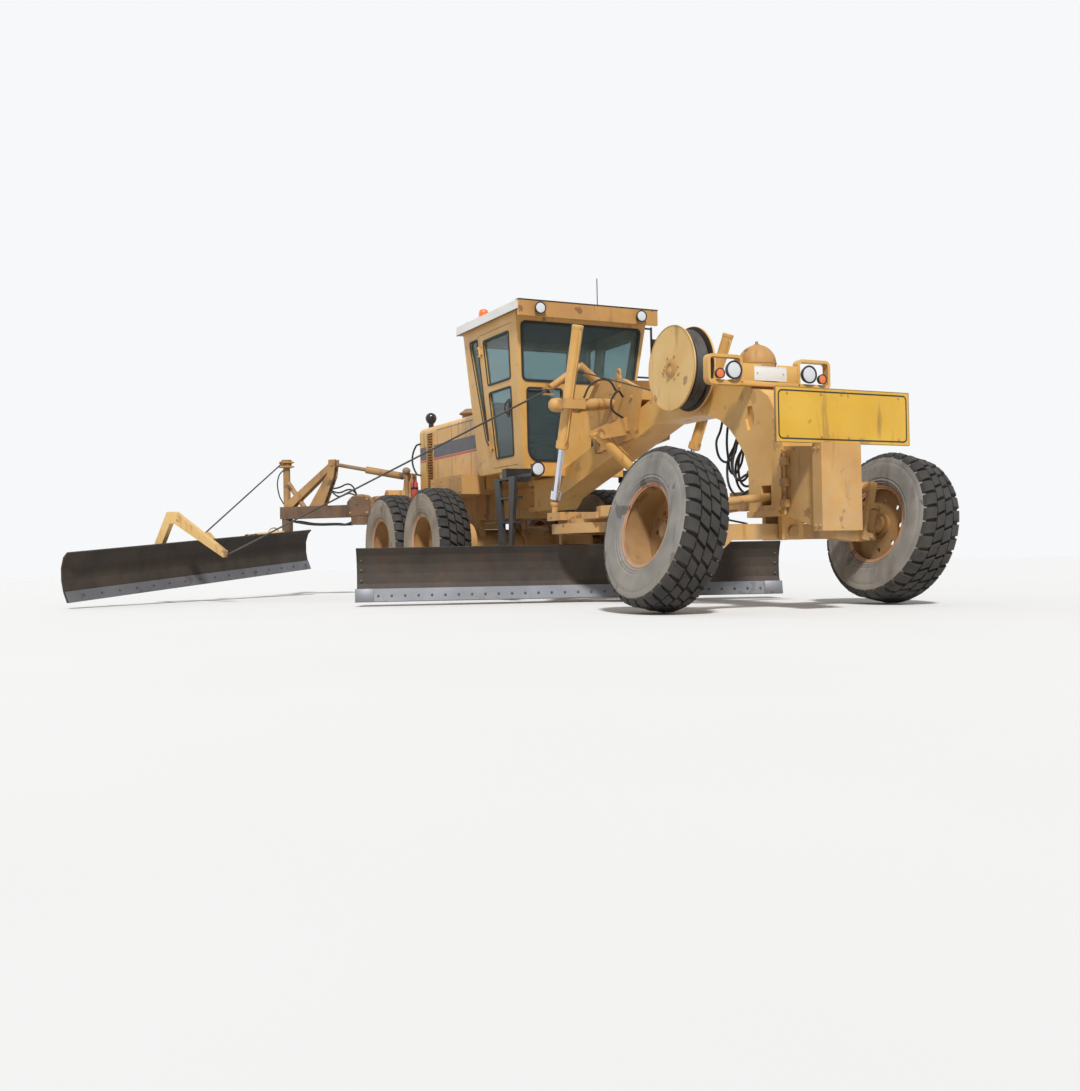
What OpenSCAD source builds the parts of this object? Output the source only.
// Articulated road grader with a side bank blade on a rear boom.
// X points forward, Y to the machine's left, Z up, millimetres.
// Modules work from the front axle; place() moves them to the part's origin.

/* [Layout] */
// Front axle centre, forward of the part's origin
axle_x = 4620; // [4560:10:4700]
// Machine's middle plane, left of the part's origin
mid_y = 2040; // [2000:10:2100]
// Front axle to the middle of the tandem
wheelbase = 6460; // [6300:10:6600]
// Distance between the two tandem wheels of one side
tandem_gap = 1650; // [1600:10:1750]
// Front track, tyre middle to tyre middle
track_front = 2600; // [2560:10:2700]
// Rear track, tyre middle to tyre middle
track_rear = 2500; // [2480:10:2600]

/* [Wheels] */
// Diameter over the lugs
tyre_d = 1450; // [1400:10:1480]
// Width of a tyre
tyre_w = 460; // [420:10:480]
// Rim seat diameter
rim_d = 770; // [740:10:800]
// Lean of the front wheels, tops to the left
lean = 12; // [0:1:15]
// Kingpin distance inboard of the wheel's middle
king_in = 250; // [240:5:270]
// Spindle radius
spindle_r = 55; // [45:1:60]
// Kingpin radius
king_r = 30; // [24:1:36]

/* [Frames] */
// Width of the gooseneck box
neck_w = 360; // [320:10:400]
// Depth of the sloping gooseneck
neck_h = 280; // [260:10:320]
// Height of the nose's top face
nose_top = 2200; // [2150:10:2250]
// Articulation pin behind the front axle
hitch_back = 5150; // [5100:10:5200]
// Articulation pin radius
hitch_r = 45; // [40:1:55]
// Width of the rear frame over its rails
rear_w = 760; // [720:10:800]
// Top height of the rear frame
frame_top = 1440; // [1400:10:1460]

/* [Cab] */
// Cab floor height
cab_z = 1600; // [1580:10:1640]
// Cab height, floor to eaves
cab_h = 1850; // [1800:10:1900]
// Half width at the floor
cab_low = 700; // [680:10:720]
// Half width at the eaves
cab_top = 900; // [880:10:920]
// Wall thickness
wall = 50; // [40:1:60]
// Glass thickness
glass_t = 8; // [6:1:12]
// Gap round each door
door_gap = 6; // [5:1:8]

/* [Engine cover] */
// Half width of the hood
hood_hw = 500; // [480:10:520]
// Hood's top height
hood_top = 2510; // [2450:10:2550]
// Hood's front end behind the front axle
hood_front = 5690; // [5680:10:5750]
// Hood's rear end behind the front axle
hood_rear = 8180; // [8100:10:8250]
// Hood panel thickness
hood_t = 30; // [20:1:40]

/* [Blade] */
// Length of the main blade
blade_l = 4840; // [4600:10:4880]
// Height of the main blade
blade_h = 610; // [580:10:640]
// Blade's lower edge above the ground
blade_z = 50; // [30:5:80]
// Angle of the main blade, right end trailing
blade_a = 22; // [18:1:26]
// Blade's side shift to the right
blade_shift = 620; // [560:10:660]
// Radius of the circle
circle_r = 820; // [780:10:840]
// Circle centre behind the front axle
circle_back = 2950; // [2900:10:3000]
// Underside height of the circle
circle_z = 780; // [770:5:790]
// Circle thickness
circle_t = 110; // [100:5:120]

/* [Lift cylinders] */
// Barrel radius
barrel_r = 62; // [56:1:68]
// Rod radius
rod_r = 32; // [28:1:36]

/* [Bank blade] */
// Length of the bank blade
bank_l = 4880; // [4600:10:5000]
// Height of the bank blade
bank_h = 620; // [580:10:660]
// Sweep of its outer end forward
bank_sweep = 38; // [34:1:42]
// Droop of its outer end at rest
bank_droop = 4; // [2:1:5]

/* [Hidden] */
$fn = 48;
run = 0.06;          // running clearance of a pin in its bore
seat = 0.3;          // gap between pieces that rest on each other
tyre_r = tyre_d / 2;
rim_r = rim_d / 2;
shoulder_r = tyre_r - 30;
shoulder_s = tyre_w / 2 - 25;
crown_s = tyre_w / 2 - 80;
// Height of a leaned wheel's centre, its lowest lug edge on the ground
front_z = max(tyre_r * cos(lean) + crown_s * sin(lean), shoulder_r * cos(lean) + shoulder_s * sin(lean));
rear_z = tyre_r;
hood_low = frame_top + seat;
rear_xs = [-wheelbase + tandem_gap / 2, -wheelbase - tandem_gap / 2];
side_tan = (cab_top - cab_low) / cab_h;
hitch_x = -hitch_back;
circle_x = -circle_back;
ball = [-430, 0, 1020];
ball_r = 70;

yellow = [0.85, 0.62, 0.28];
dark_yellow = [0.62, 0.43, 0.18];
steel = [0.55, 0.57, 0.6];
black = [0.1, 0.1, 0.1];
tyre_grey = [0.3, 0.3, 0.28];
glass = [0.6, 0.75, 0.8, 0.35];

// General helpers

module place() { translate([axle_x, mid_y, 0]) children(); }

// Bar of radius r between two points
module bar(p, q, r, fn = 32) {
    d = q - p;
    translate(p) rotate([0, acos(d[2] / norm(d)), atan2(d[1], d[0])]) cylinder(r = r, h = norm(d), $fn = fn);
}

// Plate from an outline in X and Z, between two Y values
module plate_xz(points, y0, y1) {
    translate([0, y1, 0]) rotate([90, 0, 0]) linear_extrude(y1 - y0) polygon(points);
}

// Plate from an outline in Y and Z, between two X values
module plate_yz(points, x0, x1) {
    translate([x0, 0, 0]) rotate([90, 0, 90]) linear_extrude(x1 - x0) polygon(points);
}

// Box from corner to corner
module box(a, b) { translate(a) cube(b - a); }

module both_sides() { for (s = [0, 1]) mirror([0, s, 0]) children(); }

// Wheel frames: +Y is outboard, the origin is the wheel's centre
module at_front_wheel(side) {
    translate([0, side * track_front / 2, front_z]) rotate([-lean, 0, 0]) mirror([0, side < 0 ? 1 : 0, 0]) children();
}
module at_rear_wheel(side, x) {
    translate([x, side * track_rear / 2, rear_z]) mirror([0, side < 0 ? 1 : 0, 0]) children();
}
// A point of a front wheel's frame in the machine's frame
function front_point(side, y, z) = [0,
    side * (track_front / 2 + y * cos(lean)) + z * sin(lean),
    front_z - side * y * sin(lean) + z * cos(lean)];

// Wheels

module tyre() {
    bead = rim_r + seat;
    color(tyre_grey) difference() {
        rotate([-90, 0, 0]) rotate_extrude($fn = 96) polygon([
            [bead, -tyre_w / 2 + 40], [bead + 15, -tyre_w / 2 + 26], [bead + 85, -tyre_w / 2 + 3],
            [bead + 175, -tyre_w / 2], [tyre_r - 75, -tyre_w / 2 + 8], [shoulder_r, -shoulder_s],
            [tyre_r, -crown_s], [tyre_r, crown_s], [shoulder_r, shoulder_s],
            [tyre_r - 75, tyre_w / 2 - 8], [bead + 175, tyre_w / 2], [bead + 85, tyre_w / 2 - 3],
            [bead + 15, tyre_w / 2 - 26], [bead, tyre_w / 2 - 40]]);
        // Gaps between the shoulder lugs
        for (side = [-1, 1]) for (k = [0 : lug_count - 1])
            rotate([0, (k + (side > 0 ? 0.5 : 0)) * 360 / lug_count, 0])
                translate([lug_root, side > 0 ? lug_inner : -tyre_w / 2 - 10, -lug_gap / 2])
                    cube([tyre_r - lug_root + 20, tyre_w / 2 + 10 - lug_inner, lug_gap]);
    }
}
lug_count = 32;
lug_gap = 22;
lug_root = tyre_r - 42;
lug_inner = 100;

module rim(disc_y) {
    barrel_t = 14;
    lip = tyre_w / 2 - 42;
    color(yellow) difference() {
        rotate([-90, 0, 0]) rotate_extrude($fn = 96) polygon([
            [spindle_r + run, disc_y - 35], [115, disc_y - 35], [115, disc_y], [rim_r - 30, disc_y],
            [rim_r - barrel_t, -lip], [rim_r, -lip], [rim_r, lip], [rim_r - barrel_t, lip],
            [rim_r - 30, disc_y + 22], [135, disc_y + 22], [115, disc_y + 70], [spindle_r + run, disc_y + 70]]);
        for (a = [0 : 45 : 359]) rotate([0, a, 0]) translate([245, disc_y - 10, 0])
            rotate([-90, 0, 0]) cylinder(r = 26, h = 60, $fn = 24);
    }
}
front_disc = -110;
rear_disc = -40;

// Front axle and steering

pin_low = [-385, -150];
pin_high = [-385, 320];
axle_pin_z = 710;
axle_pin_r = 36;
beam_low = 640;      // lower edge of the axle beam's level part
beam_high = 784;     // upper edge of the axle beam's level part
module front_axle() {
    pr = front_point(-1, pin_low[0], pin_low[1]);
    pl = front_point(1, pin_low[0], pin_low[1]);
    hr = front_point(-1, pin_high[0], pin_high[1]);
    hl = front_point(1, pin_high[0], pin_high[1]);
    color(yellow) {
        // Beam, level between the gull-shaped ends that hold the lower pins
        plate_yz([[pr[1], pr[2] - 60], [pr[1] + 90, pr[2] - 62], [pr[1] + 330, beam_low],
                  [pl[1] - 330, beam_low], [pl[1] - 90, pl[2] - 62], [pl[1], pl[2] - 60],
                  [pl[1], pl[2] + 60], [pl[1] - 110, pl[2] + 75], [pl[1] - 300, beam_high],
                  [pr[1] + 280, beam_high], [pr[1] + 110, pr[2] + 75], [pr[1], pr[2] + 60]], -80, 80);
        for (p = [pr, pl]) translate([-83, p[1], p[2]]) rotate([0, 90, 0]) cylinder(r = 62, h = 166);
        // Pivot pin that carries the front frame
        translate([-160, 0, axle_pin_z]) rotate([0, 90, 0]) cylinder(r = axle_pin_r, h = 320);
        // Lean bar between the upper pins
        bar(hr + [0, 40, 0], hl - [0, 40, 0], 38);
        for (p = [hr, hl]) translate([-95, p[1], p[2]]) rotate([0, 90, 0]) cylinder(r = 52, h = 190);
        // Lean brackets that carry the kingpins
        for (side = [-1, 1]) at_front_wheel(side) {
            for (x = [-130, 84]) plate_yz([[-430, -200], [-350, -200], [-350, -135], [-394, -115], [-394, 90], [-350, 126],
                [-350, pin_high[1] + 45], [-430, pin_high[1] + 45]], x, x + 46);
            for (z = [-166, 126]) {
                translate([-130, -430, z]) cube([260, 120, 40]);
                translate([0, -king_in, z]) cylinder(r = 70, h = 40);
                translate([-70, -330, z]) cube([140, 80, 40]);
            }
            translate([0, -king_in, -175]) cylinder(r = king_r, h = 350);
        }
    }
}

arm_x = -225;
arm_pin_r = 22;
module knuckle(side) {
    color(dark_yellow) at_front_wheel(side) {
        difference() {
            union() {
                translate([0, -king_in, -118]) cylinder(r = 62, h = 236);
                translate([0, -king_in, 0]) rotate([-90, 0, 0]) cylinder(r = spindle_r, h = king_in - 20);
                translate([0, -king_in, 0]) rotate([-90, 0, 0]) cylinder(r = 85, h = 95);
                // Steering arm, rearward
                translate([arm_x - 35, -king_in - 30, -96]) cube([-arm_x, 60, 30]);
            }
            translate([0, -king_in, -130]) cylinder(r = king_r + run, h = 260, $fn = 48);
        }
        translate([arm_x, -king_in, -70]) cylinder(r = arm_pin_r, h = 68);
    }
}
// Eyes sit on the steering arms; the rod runs between them
module tie_rod() {
    eye_r = front_point(-1, -king_in, -24);
    eye_l = front_point(1, -king_in, -24);
    along = (eye_l - eye_r) / norm(eye_l - eye_r);
    color(dark_yellow) difference() {
        union() {
            translate([arm_x, 0, 0]) bar(eye_r + along * 30, eye_l - along * 30, 16);
            for (side = [-1, 1]) at_front_wheel(side)
                translate([arm_x, -king_in, -66 + seat]) cylinder(r = 42, h = 62);
        }
        for (side = [-1, 1]) at_front_wheel(side)
            translate([arm_x, -king_in, -90]) cylinder(r = arm_pin_r + run, h = 120);
    }
}

// Front frame

slope_x0 = -4350;
slope_z0 = 1510;
slope_x1 = -1950;
slope = (nose_top - slope_z0) / (slope_x1 - slope_x0);
pocket = 30;         // depth of the pockets in the nose
module front_frame() {
    hw = neck_w / 2;
    neck_low = neck_h / cos(atan(slope));
    color(yellow) {
        difference() {
            union() {
                plate_xz([
                    [hitch_x + 250, 1120], [slope_x0 - 60, 1120], [slope_x0 + 110, slope_z0 + 110 * slope - neck_low],
                    [slope_x1 + 40, nose_top - neck_low + 12], [-1500, nose_top - 278], [-1150, nose_top - 282],
                    [-900, nose_top - 310], [-720, nose_top - 375], [-560, nose_top - 480], [-430, nose_top - 610],
                    [-330, nose_top - 740], [-270, nose_top - 880], [-270, 860], [260, 860], [260, 1480],
                    [215, 1660], [150, 1820], [60, 1960], [-60, 2035], [-210, 2070], [-210, nose_top],
                    [slope_x1, nose_top], [slope_x0, slope_z0], [hitch_x + 250, slope_z0]], -hw, hw);
                // Hitch ears
                for (z = [1120, 1450]) {
                    translate([hitch_x, 0, z]) cylinder(r = 125, h = 60);
                    translate([hitch_x, -125, z]) cube([260, 250, 60]);
                }
                // Cab carrier beams under the floor
                for (x = [-4950, -4150]) box([x, -640, cab_z - 90], [x + 120, 640, cab_z - seat]);
                // Axle pivot bosses
                for (x = [-150, 95]) box([x, -120, axle_pin_z - 75], [x + 55, 120, 870]);
            }
            // Passage for the lean bar
            box([-75, -400, 955], [75, 400, 1140]);
            translate([hitch_x, 0, 1000]) cylinder(r = hitch_r + run, h = 600);
            translate([-300, 0, axle_pin_z]) rotate([0, 90, 0]) cylinder(r = axle_pin_r + run, h = 600);
            // Six-sided pockets in both cheeks of the nose
            for (s = [-1, 1]) plate_xz([for (a = [0 : 60 : 300]) [-230 + 75 * cos(a), 1790 + 130 * sin(a)]],
                s > 0 ? hw - pocket : -hw - 10, s > 0 ? hw + 10 : -hw + pocket);
        }
        // Bolster in front of the axle, with its welded edge
        box([-270, -hw - 26, 850], [200, hw + 26, 905]);
        for (s = [-1, 1]) plate_xz([[170, 905 - 5], [259, 905 - 5], [259, 1470], [200, 1470], [150, 1260]],
            s > 0 ? hw - 5 : -hw - 26, s > 0 ? hw + 26 : -hw + 5);
        // Barrel-shaped head that carries the drawbar
        translate(ball) rotate([90, 0, 0]) rotate_extrude()
            polygon([[0, -ball_r], [48, -ball_r], [ball_r, -48], [ball_r, 48], [48, ball_r], [0, ball_r]]);
        bar(ball, [-260, 0, ball[2]], 40);
        // Stand and axle of the cable reel
        box([reel_c[0] - 110, -230, nose_top - 150], [reel_c[0] + 110, -hw + 5, nose_top - 10]);
        box([reel_c[0] - 60, -230, nose_top - 150], [reel_c[0] + 60, -200, reel_c[2] + 60]);
        translate([reel_c[0], -205, reel_c[2]]) rotate([90, 0, 0]) cylinder(r = reel_pin_r, h = -reel_c[1] - 205 + 8);
    }
}

trun_r = [-2800, -770, 2200];
trun_l = [-2580, 920, 2200];
trun_pin = 42;
lift_ball_r = 50;
ball_gap = 4;        // play between a lift rod's foot and its ball
shift_ball_r = 45;
lift_r = [-3100, -800, 1120];
lift_l = [-2950, 740, 1120];
module lift_saddle() {
    color(yellow) {
        // Saddle box round the neck
        for (s = [-1, 1]) plate_xz([[-3150, 1700], [-2300, 1800], [-2150, 2330], [-2500, 2480],
            [-3050, 2560], [-3350, 2300]], s > 0 ? neck_w / 2 + seat : -neck_w / 2 - seat - 60,
            s > 0 ? neck_w / 2 + seat + 60 : -neck_w / 2 - seat);
        box([-2900, -240, nose_top + 40], [-2350, 240, nose_top + 160]);
        // Arms and yokes that hold the cylinders' trunnions
        for (t = [trun_r, trun_l]) {
            side = t[1] > 0 ? 1 : -1;
            bar([t[0] + 60, side * 200, 2250], [t[0] + 40, t[1] - side * 150, t[2]], 70);
            difference() {
                union() {
                    for (d = [-1, 1]) translate([t[0], t[1] + d * 120, t[2]]) rotate([90, 0, 0]) cylinder(r = 78, h = 60, center = true);
                    for (d = [-1, 1]) box([t[0], t[1] + d * 120 - 30, t[2] - 50], [t[0] + 150, t[1] + d * 120 + 30, t[2] + 50]);
                    box([t[0] + 110, t[1] - 150, t[2] - 50], [t[0] + 150, t[1] + 150, t[2] + 50]);
                }
                translate(t) rotate([90, 0, 0]) cylinder(r = trun_pin + run, h = 400, center = true);
            }
            // Domed cover of the outer bearing
            translate(t) rotate([side > 0 ? -90 : 90, 0, 0]) rotate_extrude()
                polygon([[0, 147], [74, 147], [76, 165], [70, 192], [50, 214], [24, 226], [0, 229]]);
        }
        // Fork of the side shift cylinder
        difference() {
            for (x = [-95, 60]) plate_yz([[-235, 2050], [shift_top[1] - 20, shift_top[2] + 60], [shift_top[1] - 60, shift_top[2]],
                [shift_top[1], shift_top[2] - 55], [-235, 1850]], shift_top[0] + x, shift_top[0] + x + 35);
            translate(shift_top) rotate([0, 90, 0]) cylinder(r = 28 + run, h = 400, center = true);
        }
        // Arm and block that hold the front cable's pulley
        bar([-3050, -215, 2500], [-3050, -480, 2700], 50);
        bar([-3050, -470, 2690], [cable_top[0], cable_top[1] + 70, cable_top[2] + 45], 42);
        for (z = [-40, 26]) box([cable_top[0] - 26, cable_top[1] - 20, cable_top[2] + z], [cable_top[0] + 26, cable_top[1] + 100, cable_top[2] + z + 14]);
        translate([cable_top[0], cable_top[1], cable_top[2] - 40]) cylinder(r = cable_pin_r, h = 80);
    }
}

// Rear frame

guard_r = 105;       // radius of the guard over the slewing gear
module rear_frame() {
    hw = rear_w / 2;
    color(dark_yellow) {
        // Tongue between the hitch ears
        translate([hitch_x, 0, 1190]) cylinder(r = 110, h = 250);
        box([hitch_x - 420, -110, 1190], [hitch_x, 110, frame_top]);
        // Chassis rails and cross members
        for (s = [-1, 1]) box([-8250, s > 0 ? hw - 110 : -hw, 1050], [hitch_x - 400, s > 0 ? hw : -hw + 110, frame_top]);
        for (x = [hitch_x - 520, -6560, -7700, -8250]) box([x, -hw, 1050], [x + 120, hw, frame_top]);
        // Side boxes over the tandems
        both_sides() box([-6850, hw - 5, 1380], [-5700, 850, frame_top]);
        // Rear bumper and the boom's housing
        box([-8420, -860, 980], [-8250, 860, frame_top]);
        box([-8600, -1120, 980], [-8400, 350, 1500]);
        at_boom() for (s = [-1, 1]) {
            plate_xz([[-340, boom_z - 230], [90, boom_z - 190], [110, boom_z - 95], [90, boom_z], [-340, boom_z + 60]],
                s > 0 ? 96 : -136, s > 0 ? 136 : -96);
            plate_xz([[-540, 1400], [-340, 1400], [-410, 1850], [-530, 1850]], s > 0 ? 46 : -86, s > 0 ? 86 : -46);
        }
        at_boom() translate([0, 0, boom_z - 95]) rotate([90, 0, 0]) cylinder(r = 35, h = 260, center = true);
        at_boom() translate(boom_anchor) rotate([90, 0, 0]) cylinder(r = 30, h = 160, center = true);
        translate([hitch_x, 0, 1100]) cylinder(r = hitch_r, h = 430);
        both_sides() box([-6850, hood_hw + 20, frame_top - 10], [-5700, 850, 1640]);
        // Curved guard over the slewing gear
        translate([-8490, -760, 1490]) rotate([90, 0, 0]) cylinder(r = guard_r, h = 360, center = true);
        box([-8590, -600, 1490], [-8410, -300, 1600]);
    }
}

module tandem_cases() {
    color(yellow) both_sides() {
        for (x = rear_xs) translate([x, 780, rear_z]) rotate([-90, 0, 0]) cylinder(r = 260, h = 150);
        box([rear_xs[1], 780, rear_z - 260], [rear_xs[0], 930, rear_z + 260]);
        for (x = rear_xs) translate([x, 920, rear_z]) rotate([-90, 0, 0])
            cylinder(r = spindle_r, h = track_rear / 2 - 920 + rear_disc + 80);
        translate([-wheelbase, 300, rear_z]) rotate([-90, 0, 0]) cylinder(r = 230, h = 490);
    }
    color(yellow) translate([-wheelbase, -310, rear_z]) rotate([-90, 0, 0]) cylinder(r = 200, h = 620);
    color(yellow) for (s = [-1, 1]) box([-wheelbase - 200, s * 325 - 45, rear_z + 100], [-wheelbase + 200, s * 325 + 45, 1050 - seat]);
}

// Cab

module cab_profile(inset) {
    z0 = cab_z + inset;
    z1 = cab_z + cab_h - inset;
    polygon([[-cab_low - side_tan * inset + inset, z0], [cab_low + side_tan * inset - inset, z0],
             [cab_top - side_tan * inset - inset, z1], [-cab_top + side_tan * inset + inset, z1]]);
}
front_low_x = -4120;
front_top_x = -3830;
cab_rear_x = -5450;
module cab_solid(inset) {
    intersection() {
        translate([cab_rear_x + inset, 0, 0]) rotate([90, 0, 90])
            linear_extrude(front_top_x - cab_rear_x) cab_profile(inset);
        plate_xz([[cab_rear_x + inset, cab_z], [front_low_x - inset, cab_z],
                  [front_top_x - inset, cab_z + cab_h], [cab_rear_x + inset, cab_z + cab_h]], -1200, 1200);
    }
}
// Openings as outlines in X and Z, right and left alike
eaves = cab_z + cab_h;
door_outline = [[-4960, cab_z + 60], [-4250, cab_z + 60], [-3990, eaves - 110], [-4960, eaves - 110]];
door_upper = [[-4850, cab_z + 1100], [-4180, cab_z + 1100], [-4090, eaves - 200], [-4850, eaves - 200]];
// Half width of the cab at a height
function cab_side(z) = cab_low + side_tan * (z - cab_z);
visor_x = -3640;
door_lower = [[-4850, cab_z + 180], [-4330, cab_z + 180], [-4200, cab_z + 1000], [-4850, cab_z + 1000]];
quarter = [[-5120, cab_z + 450], [-5060, cab_z + 360], [-5030, cab_z + 390], [-5030, eaves - 150],
    [-5250, eaves - 150], [-5270, eaves - 190]];
quarter_pane = [[-5118, cab_z + 452], [-5060, cab_z + 363], [-5030 - seat, cab_z + 392],
    [-5030 - seat, eaves - 150 - seat], [-5249, eaves - 150 - seat], [-5268, eaves - 190]];
module side_cut(points, grow) {
    c = [for (k = [0, 1]) (max([for (p = points) p[k]]) + min([for (p = points) p[k]])) / 2];
    w = [for (k = [0, 1]) (max([for (p = points) p[k]]) - min([for (p = points) p[k]])) / 2];
    plate_xz([for (p = points) [c[0] + (p[0] - c[0]) * (1 + grow / w[0]), c[1] + (p[1] - c[1]) * (1 + grow / w[1])]], 400, 1200);
}
screen = [[-760, cab_z + 1050], [760, cab_z + 1050], [820, eaves - 120], [-820, eaves - 120]];
low_screen = [[230, cab_z + 100], [560, cab_z + 100], [640, cab_z + 200], [700, cab_z + 960], [230, cab_z + 960]];
rear_screen = [[-560, cab_z + 960], [560, cab_z + 960], [640, eaves - 150], [-640, eaves - 150]];
module front_cut(points, grow, x0, x1) {
    c = [for (k = [0, 1]) (max([for (p = points) p[k]]) + min([for (p = points) p[k]])) / 2];
    w = [for (k = [0, 1]) (max([for (p = points) p[k]]) - min([for (p = points) p[k]])) / 2];
    plate_yz([for (p = points) [c[0] + (p[0] - c[0]) * (1 + grow / w[0]), c[1] + (p[1] - c[1]) * (1 + grow / w[1])]], x0, x1);
}
module cab_shell() {
    color(yellow) {
        difference() {
            cab_solid(0);
            cab_solid(wall);
            both_sides() {
                side_cut(door_outline, 0);
                side_cut(quarter, 0);
            }
            front_cut(screen, 0, -4200, -3700);
            both_sides() front_cut(low_screen, 0, -4400, -3700);
            front_cut(rear_screen, 0, -5600, -5300);
        }
        // Roof with its visor
        box([-5550, -cab_top - 50, cab_z + cab_h], [visor_x, cab_top + 50, cab_z + cab_h + 95]);
        box([visor_x - 40, -cab_top - 50, cab_z + cab_h - 90], [visor_x, cab_top + 50, cab_z + cab_h + 95]);
        // Door hinges: fixed ends and pins
        both_sides() at_door_hinge() for (z = hinge_rows) {
            for (d = [-1, 1]) translate([0, 0, z + d * 52]) cylinder(r = 15, h = 20, center = true);
            for (d = [-1, 1]) translate([-50, -hinge_out - 1, z + d * 52 - 10]) cube([50, hinge_out + 9, 20]);
            translate([0, 0, z - 60]) cylinder(r = hinge_pin_r, h = 120);
        }
    }
}
// Frame of the left door's hinge: origin at floor level on the hinge line, Z up the slanted wall, Y outward
hinge_x = -4962;
hinge_out = 17;
hinge_pin_r = 8;
hinge_rows = [350, cab_h - 300];
module at_door_hinge() {
    translate([hinge_x, cab_low, cab_z]) rotate([-atan(side_tan), 0, 0]) translate([0, hinge_out, 0]) children();
}
module door(side) {
    color(yellow) mirror([0, side < 0 ? 1 : 0, 0]) {
        difference() {
            intersection() {
                difference() {
                    cab_solid(0);
                    cab_solid(wall - 5);
                }
                side_cut(door_outline, -door_gap);
            }
            side_cut(door_upper, 0);
            side_cut(door_lower, 0);
        }
        at_door_hinge() for (z = hinge_rows) difference() {
            union() {
                translate([0, 0, z - 40]) cylinder(r = 15, h = 80);
                translate([10, -hinge_out - 1, z - 40]) cube([50, hinge_out - 3, 80]);
                translate([0, -10, z - 40]) cube([30, 14, 80]);
            }
            translate([0, 0, z - 60]) cylinder(r = hinge_pin_r + run, h = 120);
        }
    }
}
module glass_layer() { difference() { cab_solid(18); cab_solid(18 + glass_t); } }
module door_glass(side) {
    color(glass) mirror([0, side < 0 ? 1 : 0, 0]) intersection() {
        glass_layer();
        union() { side_cut(door_upper, -seat); side_cut(door_lower, -seat); }
    }
}
module cab_glass() {
    color(glass) intersection() {
        glass_layer();
        union() {
            both_sides() side_cut(quarter_pane, 0);
            front_cut(screen, -seat, -4200, -3700);
            both_sides() front_cut(low_screen, -seat, -4400, -3700);
            front_cut(rear_screen, -seat, -5600, -5300);
        }
    }
}
module seat_and_controls() {
    floor_z = cab_z + wall + seat;
    color(black) {
        box([-5150, -230, floor_z], [-4800, 230, floor_z + 330]);
        box([-5220, -260, floor_z + 330], [-4720, 260, floor_z + 450]);
        plate_xz([[-5230, floor_z + 440], [-5110, floor_z + 440], [-5190, floor_z + 1100], [-5270, floor_z + 1100]], -240, 240);
        // Steering pedestal with its wheel
        plate_xz([[-4420, floor_z], [-4280, floor_z], [-4330, floor_z + 720], [-4400, floor_z + 720]], -110, 110);
        translate([-4420, 0, floor_z + 760]) rotate([0, -25, 0]) {
            rotate_extrude($fn = 48) translate([176, -13]) square([28, 26]);
            translate([0, 0, -90]) cylinder(r = 40, h = 100);
            for (a = [0, 120, 240]) rotate([0, 0, a]) translate([0, -14, -8]) cube([185, 28, 16]);
        }
        // Lever banks
        for (s = [-1, 1]) {
            box([-4400, s > 0 ? 105 : -300, floor_z + 560], [-4300, s > 0 ? 300 : -105, floor_z + 650]);
            for (k = [0 : 4]) translate([-4380, s * (130 + 36 * k) - 8, floor_z + 640]) cube([16, 16, 240]);
        }
    }
}

// Engine cover

module hood_profile(inset) {
    corner_r = 90 - inset / 2;
    cy = hood_hw - inset - corner_r;
    cz = hood_top - inset - corner_r;
    polygon(concat(
        [[-hood_hw + inset, hood_low], [hood_hw - inset, hood_low]],
        [for (a = [0 : 11.25 : 90]) [cy + corner_r * cos(a), cz + corner_r * sin(a)]],
        [for (a = [90 : 11.25 : 180]) [-cy + corner_r * cos(a), cz + corner_r * sin(a)]]));
}
louvre_x = [-7880, -7600];
louvre_z = [1560, 2400];
module hood() {
    color(yellow) difference() {
        translate([-hood_rear, 0, 0]) rotate([90, 0, 90]) linear_extrude(hood_rear - hood_front) hood_profile(0);
        translate([-hood_rear - 10, 0, -10]) rotate([90, 0, 90]) linear_extrude(hood_rear - hood_front - hood_t + 10) hood_profile(hood_t);
        box([-9000, -hood_hw + hood_t, hood_low - 100], [-hood_front - hood_t, hood_hw - hood_t, hood_low + 100]);
        for (s = [-1, 1]) box([louvre_x[0], s * hood_hw - 60, louvre_z[0]], [louvre_x[1], s * hood_hw + 60, louvre_z[1]]);
    }
}
module grille() {
    color(dark_yellow) {
        // Side louvres
        for (s = [0, 1]) mirror([0, s, 0]) {
            for (x = [louvre_x[0] + seat, louvre_x[1] - 24 - seat])
                box([x, hood_hw - hood_t, louvre_z[0] + seat], [x + 24, hood_hw + 12, louvre_z[1] - seat]);
            for (k = [0 : 20]) translate([louvre_x[0] + 20, hood_hw - 18, louvre_z[0] + 14 + 39 * k])
                rotate([35, 0, 0]) cube([louvre_x[1] - louvre_x[0] - 40, 30, 5]);
        }
        // Radiator grille at the rear
        difference() {
            box([-hood_rear + seat, -hood_hw + hood_t + seat, hood_low], [-hood_rear + 40, hood_hw - hood_t - seat, hood_top - 130]);
            for (s = [-1, 1]) box([-hood_rear - 10, s > 0 ? 20 : -430, hood_low + 60], [-hood_rear + 60, s > 0 ? 430 : -20, hood_top - 190]);
        }
        for (k = [0 : 15]) box([-hood_rear + 8, -440, hood_low + 80 + 50 * k], [-hood_rear + 26, 440, hood_low + 96 + 50 * k]);
    }
}
module engine_block() {
    color(black) box([-7500, -330, frame_top + seat], [-5900, 330, 2300]);
}
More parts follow.
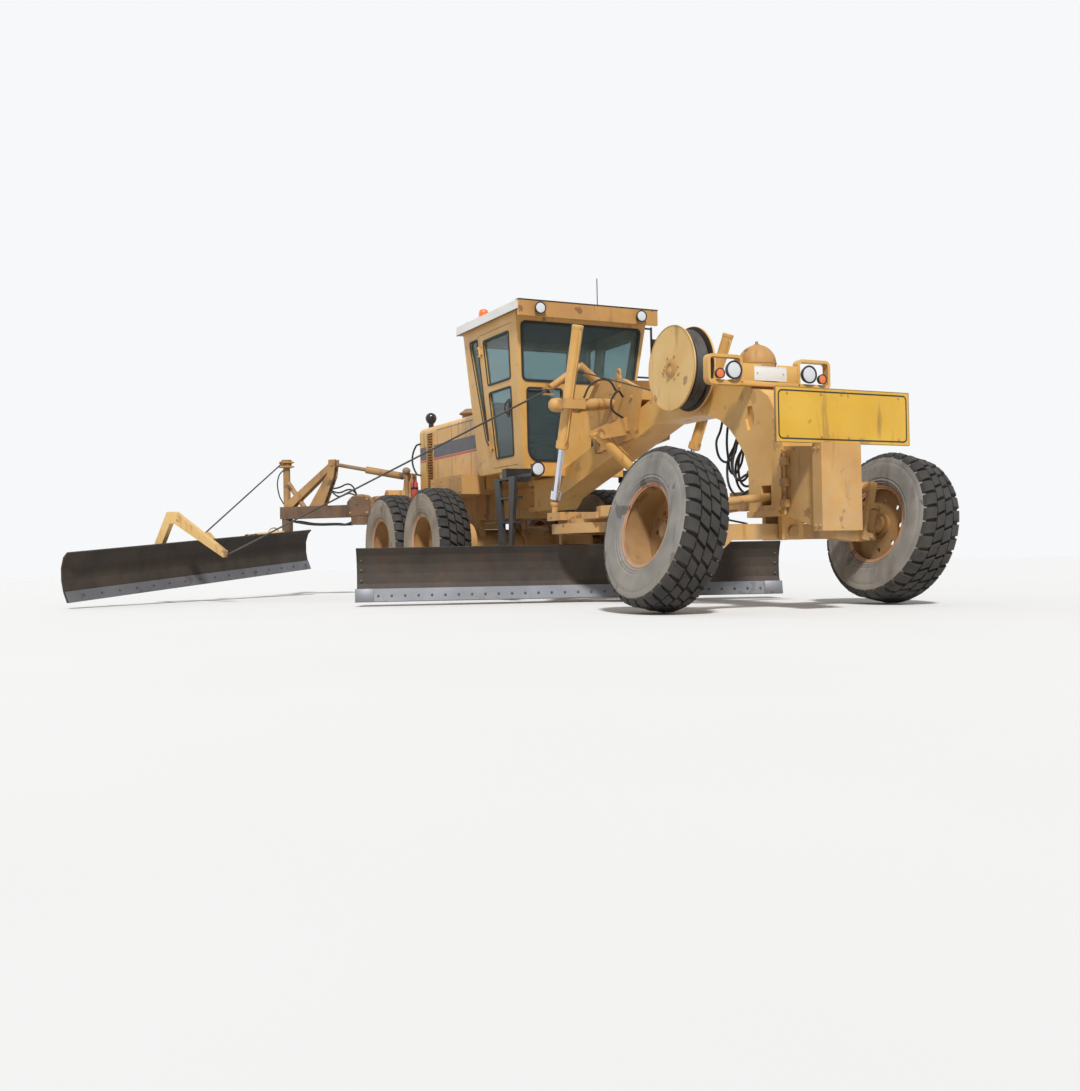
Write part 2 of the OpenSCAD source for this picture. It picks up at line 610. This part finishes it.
module hood_fittings() {
    color(black) {
        translate([-7950, -400, hood_top + seat]) cylinder(r = 40, h = 90);
        translate([-7950, -400, hood_top + 140]) sphere(r = 85);
        translate([-6700, -250, hood_top + seat]) cylinder(r = 150, h = 60);
        translate([-6700, -250, hood_top + 60]) cylinder(r1 = 190, r2 = 120, h = 70);
        translate([-7150, 200, hood_top + seat]) cylinder(r = 65, h = 420);
        box([-6350, -330, hood_top + seat], [-6100, -150, hood_top + 70]);
    }
}

module steps_and_mirrors() {
    color(black) both_sides() {
        plate_xz([[-4330, 1480], [-4180, 1480], [-4050, 620], [-4200, 620]], 960, 1000);
        plate_xz([[-3900, 1480], [-3730, 1480], [-3850, 620], [-3930, 620]], 960, 1000);
        for (z = [640, 930, 1220, 1450]) box([-4280, 880, z], [-3760, 1000, z + 24]);
        // Hangers from the cab carrier
        box([-4150, 640 + seat, 1440], [-4030, 970, 1590]);
        box([-4040, 800, 1460], [-3480, 900, 1500]);
        box([-3500, 800, 1460], [-3480, 900, 1600]);
    }
    color(black) {
        for (z = [cab_z + 1160, eaves - 70]) bar([-3960, cab_side(z + 12) + seat, z], [-3960, 1060, z], 12, 16);
        bar([-3960, 1050, cab_z + 1140], [-3960, 1050, eaves - 50], 14, 16);
        box([-3975, 1055, 2850], [-3940, 1260, 3250]);
        translate([-4300, 470, cab_z + cab_h + 95 + seat]) cylinder(r = 6, h = 500);
    }
}

// Cylinders

module lift_barrel(t, b) {
    u = (b - t) / norm(b - t);
    color(yellow) difference() {
        union() {
            bar(t - u * 880, t + u * 480, barrel_r);
            translate(t) rotate([90, 0, 0]) cylinder(r = trun_pin, h = 290, center = true);
        }
        bar(t - u * 840, t + u * 500, rod_r + run);
    }
}
module lift_rod(t, b) {
    u = (b - t) / norm(b - t);
    color(steel) bar(t - u * 380, b - u * 140, rod_r);
    color(yellow) bar(b - u * 150, b - u * (lift_ball_r + ball_gap), 58);
}
shift_top = [-2500, -560, 1850];
shift_low = [-2500, 330, 1090];
module shift_barrel() {
    u = (shift_low - shift_top) / norm(shift_low - shift_top);
    color(yellow) difference() {
        bar(shift_top, shift_top + u * 700, 55);
        bar(shift_top + u * 90, shift_top + u * 800, 28 + run);
    }
    color(yellow) translate(shift_top) rotate([0, 90, 0]) cylinder(r = 28, h = 180, center = true);
}
module shift_rod() {
    u = (shift_low - shift_top) / norm(shift_low - shift_top);
    color(steel) bar(shift_top + u * 380, shift_low - u * 120, 28);
    color(yellow) bar(shift_low - u * 130, shift_low - u * (shift_ball_r + seat), 48);
}

// Blade group

socket_r = 95;       // outer radius of the ball's socket
module drawbar() {
    color(yellow) {
        // Tongue with a round socket for the ball, open to the front
        difference() {
            union() {
                box([-700, -95, 930], [ball[0], 95, 1110]);
                translate(ball) rotate([90, 0, 0]) cylinder(r = socket_r, h = 192, center = true);
            }
            translate(ball) rotate([90, 0, 0]) cylinder(r = ball_r + run, h = 2 * (ball_r + 2), center = true);
            box([ball[0] + 20, -60, ball[2] - 60], [-300, 60, ball[2] + 60]);
        }
        for (s = [-1, 1]) plate_xy([[-690, s * 10], [-560, s * 95], [-2250, s * 680], [-2450, s * 620], [-2400, s * 520]], 945, 1060);
        // Plate over the circle
        difference() {
            translate([circle_x, 0, circle_z + circle_t + 0.4]) cylinder(r = circle_r - 80, h = 50, $fn = 96);
            translate([circle_x, 0, circle_z]) cylinder(r = circle_r - 230, h = 300, $fn = 96);
        }
        box([-2650, -680, circle_z + circle_t + 40], [-2350, 680, 1000]);
        // Rear cross beam with the lift ball stands
        box([-3220, -840, circle_z + circle_t + 40], [-2890, 840, 1020]);
        for (p = [lift_r, lift_l]) {
            bar([p[0], p[1], 1000], p, 34);
            translate(p) sphere(r = lift_ball_r);
        }
        bar([shift_low[0], shift_low[1], 980], shift_low, 30);
        translate(shift_low) sphere(r = shift_ball_r);
    }
}
module plate_xy(points, z0, z1) { translate([0, 0, z0]) linear_extrude(z1 - z0) polygon(points); }

// Frame of the blade: origin under the circle's centre, +Y along the blade to the left, +X its front
module at_blade() { translate([circle_x, 0, 0]) rotate([0, 0, -blade_a]) children(); }
tip_x = -250;
tip_z = 330;
module circle() {
    color(dark_yellow) {
        difference() {
            translate([circle_x, 0, circle_z]) cylinder(r = circle_r, h = circle_t, $fn = 96);
            translate([circle_x, 0, circle_z - 1]) cylinder(r = circle_r - 130, h = circle_t + 2, $fn = 96);
        }
        at_blade() difference() {
            for (s = [-1, 1]) plate_xz([[-480, circle_z + 10], [-140, circle_z + 10], [-150, 560], [-190, 260], [-330, 260], [-420, 620]],
                s > 0 ? 640 : -700, s > 0 ? 700 : -640);
            translate([tip_x, 0, tip_z]) rotate([90, 0, 0]) cylinder(r = 35 + run, h = 2000, center = true);
        }
    }
}
module blade_carrier() {
    color(dark_yellow) at_blade() {
        for (s = [-1, 1]) {
            plate_xz([[-310, 300], [-270, 250], [-150, 170], [-60, 170], [-60, 600], [-130, 600], [-310, 380]],
                s > 0 ? 560 : -620, s > 0 ? 620 : -560);
            translate([tip_x, s * 640, tip_z]) rotate([90, 0, 0]) cylinder(r = 35, h = 160, center = true);
        }
        for (z = [190, 520]) box([-62, -900, z], [-23 - seat, 900, z + 60]);
    }
}
module moldboard() {
    color(dark_yellow) at_blade() translate([90, -blade_shift, blade_z]) {
        plate_xz([[1, 75], [-40, 80], [-66, 200], [-74, 320], [-62, 430], [-26, 530], [30, blade_h],
                  [50, blade_h - 6], [-4, 524], [-40, 425], [-52, 320], [-44, 205], [-17, 148]], -blade_l / 2, blade_l / 2);
        // Rails that slide in the carrier
        for (r = [[140, -56], [470, -34]]) box([-113, -1400, r[0] + 3], [r[1], 1400, r[0] + 54]);
    }
}
module cutting_edge() {
    color(steel) at_blade() translate([90, -blade_shift, blade_z]) {
        plate_xz([[20, 0], [38, 8], [4, 150], [-16, 146]], -blade_l / 2 - 20, blade_l / 2 + 20);
    }
}

// Front attachments

module light_bar() {
    color(yellow) {
        for (s = [-1, 1]) difference() {
            box([bar_x - 80, s > 0 ? 318 : -707, 2080], [bar_x, s > 0 ? 707 : -318, 2360]);
            box([bar_x - 100, s > 0 ? 344 : -677, lamp_rest], [bar_x + 20, s > 0 ? 677 : -344, 2330]);
        }
        box([bar_x - 80, -340, 2080], [bar_x, 340, lamp_rest]);
        for (s = [-1, 1]) box([bar_x - 30, s > 0 ? 100 : -340, 2100], [bar_x - 10, s > 0 ? 340 : -100, 2290]);
        // Dome tank on its shelf
        box([-950, 120, nose_top + seat], [-650, 520, nose_top + 14]);
        translate([-800, 340, nose_top + 10]) cylinder(r = 190, h = 200);
        translate([-800, 340, nose_top + 210]) sphere(r = 190);
    }
}
bar_x = -129.7;
lamp_rest = 2125;
module round_lamp(p, radius, depth) {
    translate(p) rotate([0, 90, 0]) cylinder(r = radius, h = depth);
}
module lamps() {
    color([0.9, 0.9, 0.85]) for (s = [-1, 1]) {
        round_lamp([bar_x - 40, s * 434, lamp_rest + 88 + seat], 88, 70);
        round_lamp([visor_x + seat, s * 690, eaves], 72, 60);
        round_lamp([-3480 + seat, s * 850, 1540], 85, 80);
    }
    color([0.9, 0.4, 0.1]) {
        for (s = [-1, 1]) round_lamp([bar_x - 30, s * 590, lamp_rest + 50 + seat], 50, 60);
        translate([-5000, -800, cab_z + cab_h + 95 + seat]) cylinder(r = 70, h = 150);
    }
}
block_x = 840;
block_hw = 220;
module push_block() {
    color(yellow) {
        difference() {
            box([block_x - 120, -block_hw, 700], [block_x, block_hw, 1460]);
            box([block_x - 400, -block_hw + 20, 740], [block_x - 24, block_hw - 20, 1420]);
        }
        for (s = [-1, 1]) plate_xz([[260 + seat, 860], [block_x - 110, 720], [block_x - 110, 1440], [260 + seat, 1480]],
            s > 0 ? 120 : -170, s > 0 ? 170 : -120);
    }
}
module sign() {
    color([0.85, 0.65, 0.1]) {
        box([block_x - 90, -635, 1465], [block_x - 74, 845, 1935]);
        for (y = [-150, 150]) box([block_x - 118, y - 25, 1460 + seat], [block_x - 88, y + 25, 1900]);
    }
}
reel_c = [-1080, -500, 2370];
reel_pin_r = 40;
module reel() {
    color(dark_yellow) translate(reel_c) rotate([-90, 0, 0]) difference() {
        union() {
            for (z = [0, 230]) translate([0, 0, z]) cylinder(r = 425, h = 12, $fn = 96);
            translate([0, 0, 10]) cylinder(r = 250, h = 222, $fn = 96);
            translate([0, 0, 60]) cylinder(r = 330, h = 120, $fn = 96);
        }
        translate([0, 0, -5]) cylinder(r = reel_pin_r + run, h = 260);
    }
}
// Bank blade and its boom

post = [-9950, -2100];
boom_root = [-8790, -890];
boom_dir = atan2(post[1] - boom_root[1], post[0] - boom_root[0]);
boom_len = norm(post - boom_root);
boom_z = 1400;
module at_boom() { translate([boom_root[0], boom_root[1], 0]) rotate([0, 0, boom_dir]) children(); }
module rear_boom() {
    color(dark_yellow) at_boom() {
        box([120, -90, boom_z - 190], [boom_len + 80, 90, boom_z]);
        // Root eye
        difference() {
            union() {
                rotate([90, 0, 0]) translate([0, boom_z - 95, 0]) cylinder(r = 95, h = 180, center = true);
                box([0, -90, boom_z - 190], [150, 90, boom_z]);
            }
            rotate([90, 0, 0]) translate([0, boom_z - 95, 0]) cylinder(r = 35 + run, h = 400, center = true);
        }
        // Root housing: cheeks, curved guard and the round case below
        for (s = [-1, 1]) plate_xz([[170, boom_z - 175], [560, boom_z - 175], [560, boom_z + 40], [470, boom_z + 130],
            [190, boom_z + 110], [170, boom_z + 60]], s > 0 ? 85 : -125, s > 0 ? 125 : -85);
        translate([350, 0, boom_z - 5]) rotate([90, 0, 0]) cylinder(r = 165, h = 164, center = true);
        translate([360, 0, boom_z - 310]) cylinder(r = 175, h = 125);
        // A-frame
        for (y = [-70, 40]) plate_xz([[boom_len * 0.5 - 60, 2120], [boom_len * 0.5 + 60, 2120],
            [boom_len * 0.5 + 90, 1900], [boom_len * 0.75, boom_z - 10], [boom_len * 0.6, boom_z - 10],
            [boom_len * 0.5 - 20, 1850]], y, y + 30);
        for (y = [-70, 40]) plate_xz([[boom_len * 0.5 + 40, 1960], [boom_len * 0.5 + 70, 2050], [boom_len - 30, boom_z + 80],
            [boom_len - 30, boom_z - 10], [boom_len - 120, boom_z - 10]], y, y + 30);
        translate([boom_len * 0.5, 0, 2050]) rotate([90, 0, 0]) cylinder(r = 30, h = 170, center = true);
        // Ears that hold the stay
        translate([boom_len, 0, 0]) rotate([0, 0, bank_sweep - 90 - boom_dir]) {
            for (y = [-26, 14]) box([50, y, mast_z - 30], [stay_out + 26, y + 12, mast_z + 30]);
            translate([stay_out, 0, mast_z]) rotate([90, 0, 0]) cylinder(r = stay_pin_r, h = 60, center = true);
        }
        // Mast and lower post
        translate([boom_len, 0, boom_z - 10]) cylinder(r = 55, h = 660);
        translate([boom_len, 0, boom_z + 640]) cylinder(r = 80, h = 110);
        bar([boom_len, 0, boom_z + 420], [boom_len - 320, 0, boom_z - 30], 40);
        translate([boom_len, 0, 650]) cylinder(r = 85, h = boom_z - 190 - 640);
    }
    // Pin that carries the bank blade
    color(dark_yellow) translate([bank_root[0], bank_root[1], bank_z]) rotate([0, 0, bank_sweep - 90])
        translate([0, -430, 0]) rotate([90, 0, 0]) cylinder(r = 35, h = 290, center = true);
}
boom_anchor = [-470, 0, 1790];
boom_pin = [boom_len * 0.5, 0, 2050];
boom_u = (boom_pin - boom_anchor) / norm(boom_pin - boom_anchor);
module boom_barrel() {
    color(yellow) at_boom() difference() {
        union() {
            bar(boom_anchor + boom_u * 130, boom_anchor + boom_u * 760, 55);
            bar(boom_anchor, boom_anchor + boom_u * 150, 38);
            translate(boom_anchor) rotate([90, 0, 0]) cylinder(r = 60, h = 80, center = true);
        }
        bar(boom_anchor + boom_u * 170, boom_anchor + boom_u * 800, 30 + run);
        translate(boom_anchor) rotate([90, 0, 0]) cylinder(r = 30 + run, h = 200, center = true);
    }
}
module boom_rod() {
    color(steel) at_boom() difference() {
        union() {
            bar(boom_anchor + boom_u * 430, boom_pin - boom_u * 60, 30);
            translate(boom_pin) rotate([90, 0, 0]) cylinder(r = 65, h = 60, center = true);
        }
        translate(boom_pin) rotate([90, 0, 0]) cylinder(r = 50, h = 200, center = true);
    }
}

// A point of the bank blade's frame in the machine's frame
function bank_point(t, n, z) = [
    bank_root[0] + (t * cos(bank_droop) + z * sin(bank_droop)) * sin(bank_sweep) + n * cos(bank_sweep),
    bank_root[1] - (t * cos(bank_droop) + z * sin(bank_droop)) * cos(bank_sweep) + n * sin(bank_sweep),
    bank_z + z * cos(bank_droop) - t * sin(bank_droop)];
bank_root = [-9600, -1860];
bank_z = 740;
module at_bank() {
    translate([bank_root[0], bank_root[1], bank_z]) rotate([0, 0, bank_sweep - 90])
        rotate([0, bank_droop, 0]) children();
}
arm_t = 3000;
arm_tip = [arm_t, 900, 110];
module bank_blade() {
    color(dark_yellow) at_bank() {
        // Along +X outward, +Y forward
        rotate([90, 0, 90]) linear_extrude(bank_l) polygon([[0, -330], [-50, -200], [-70, -60], [-60, 100], [-10, 230],
            [60, bank_h - 330], [74, bank_h - 342], [8, 218], [-42, 95], [-50, -60], [-30, -200], [20, -330]]);
        // Pivot lugs behind the blade
        difference() {
            for (n = [-560, -330]) plate_xz([[-60, -60], [300, -60], [300, 60], [-60, 60]], n, n + 40);
            translate([0, -440, 0]) rotate([90, 0, 0]) cylinder(r = 35 + run, h = 600, center = true);
        }
        box([260, -560, -60], [300, -55, 60]);
        // Gallows arm over the blade to the front cable
        plate_yz([[-420, -160], [-420, 60], [-40, 700], [90, 700], [900, 150], [880, 70], [70, 545], [0, 545],
                  [-270, 90], [-270, -60], [-55, -60], [-55, -160]], arm_t - 40, arm_t + 40);
        // Stay bracket and tilt strut
        plate_yz([[-240, 200], [-240, 380], [-150, 380], [-30, 260], [-30, 150]], 2080, 2120);
        bar([350, -180, 250], [1250, -180, 250], 42);
        for (t = [400, 1200]) plate_yz([[-220, 210], [-220, 290], [-20, 290], [-20, 150]], t - 15, t + 15);
    }
}
cable_r = 11;
cable_top = [-3090, -900, 2390];
cable_pin_r = 14;
cable_eye = bank_point(arm_tip[0] - 40 - cable_r - 6, arm_tip[1], arm_tip[2]);
module cable_front() {
    u = (cable_eye - cable_top) / norm(cable_eye - cable_top);
    color(steel) difference() {
        union() {
            bar(cable_top + u * 15, cable_eye, cable_r, 24);
            translate(cable_top) cylinder(r = 26, h = 30, center = true);
        }
        translate(cable_top) cylinder(r = cable_pin_r + run, h = 100, center = true);
    }
}
mast_z = 2090;
stay_out = 115;
stay_pin_r = 12;
mast_head = [post[0] + stay_out * sin(bank_sweep), post[1] - stay_out * cos(bank_sweep), mast_z];
stay_eye = bank_point(2100, -265, 340);
module stay_cable() {
    u = (stay_eye - mast_head) / norm(stay_eye - mast_head);
    color(steel) difference() {
        union() {
            bar(mast_head + u * 15, stay_eye, cable_r, 24);
            translate(mast_head) rotate([0, 0, bank_sweep]) rotate([0, 90, 0]) cylinder(r = 24, h = 24, center = true);
        }
        translate(mast_head) rotate([0, 0, bank_sweep]) rotate([0, 90, 0]) cylinder(r = stay_pin_r + run, h = 60, center = true);
    }
}

place() at_front_wheel(-1) tyre();  // tyre_front_right
place() at_front_wheel(1) tyre();  // tyre_front_left
place() at_rear_wheel(-1, rear_xs[0]) tyre();  // tyre_rear_right_1
place() at_rear_wheel(-1, rear_xs[1]) tyre();  // tyre_rear_right_2
place() at_rear_wheel(1, rear_xs[0]) tyre();  // tyre_rear_left_1
place() at_rear_wheel(1, rear_xs[1]) tyre();  // tyre_rear_left_2
place() at_front_wheel(-1) rim(front_disc);  // rim_front_right
place() at_front_wheel(1) rim(front_disc);  // rim_front_left
place() at_rear_wheel(-1, rear_xs[0]) rim(rear_disc);  // rim_rear_right_1
place() at_rear_wheel(-1, rear_xs[1]) rim(rear_disc);  // rim_rear_right_2
place() at_rear_wheel(1, rear_xs[0]) rim(rear_disc);  // rim_rear_left_1
place() at_rear_wheel(1, rear_xs[1]) rim(rear_disc);  // rim_rear_left_2
place() front_axle();
place() knuckle(-1);  // knuckle_right
place() knuckle(1);  // knuckle_left
place() tie_rod();
place() front_frame();
place() lift_saddle();
place() rear_frame();
place() tandem_cases();
place() cab_shell();
place() door(-1);  // door_right
place() door(1);  // door_left
place() cab_glass();
place() door_glass(-1);  // door_glass_right
place() door_glass(1);  // door_glass_left
place() seat_and_controls();
place() hood();
place() grille();
place() engine_block();
place() hood_fittings();
place() steps_and_mirrors();
place() lift_barrel(trun_r, lift_r);  // lift_barrel_right
place() lift_rod(trun_r, lift_r);  // lift_rod_right
place() lift_barrel(trun_l, lift_l);  // lift_barrel_left
place() lift_rod(trun_l, lift_l);  // lift_rod_left
place() shift_barrel();
place() shift_rod();
place() drawbar();
place() circle();
place() blade_carrier();
place() moldboard();
place() cutting_edge();
place() light_bar();
place() lamps();
place() push_block();
place() sign();
place() reel();
place() cable_front();
place() rear_boom();
place() boom_barrel();
place() boom_rod();
place() bank_blade();
place() stay_cable();
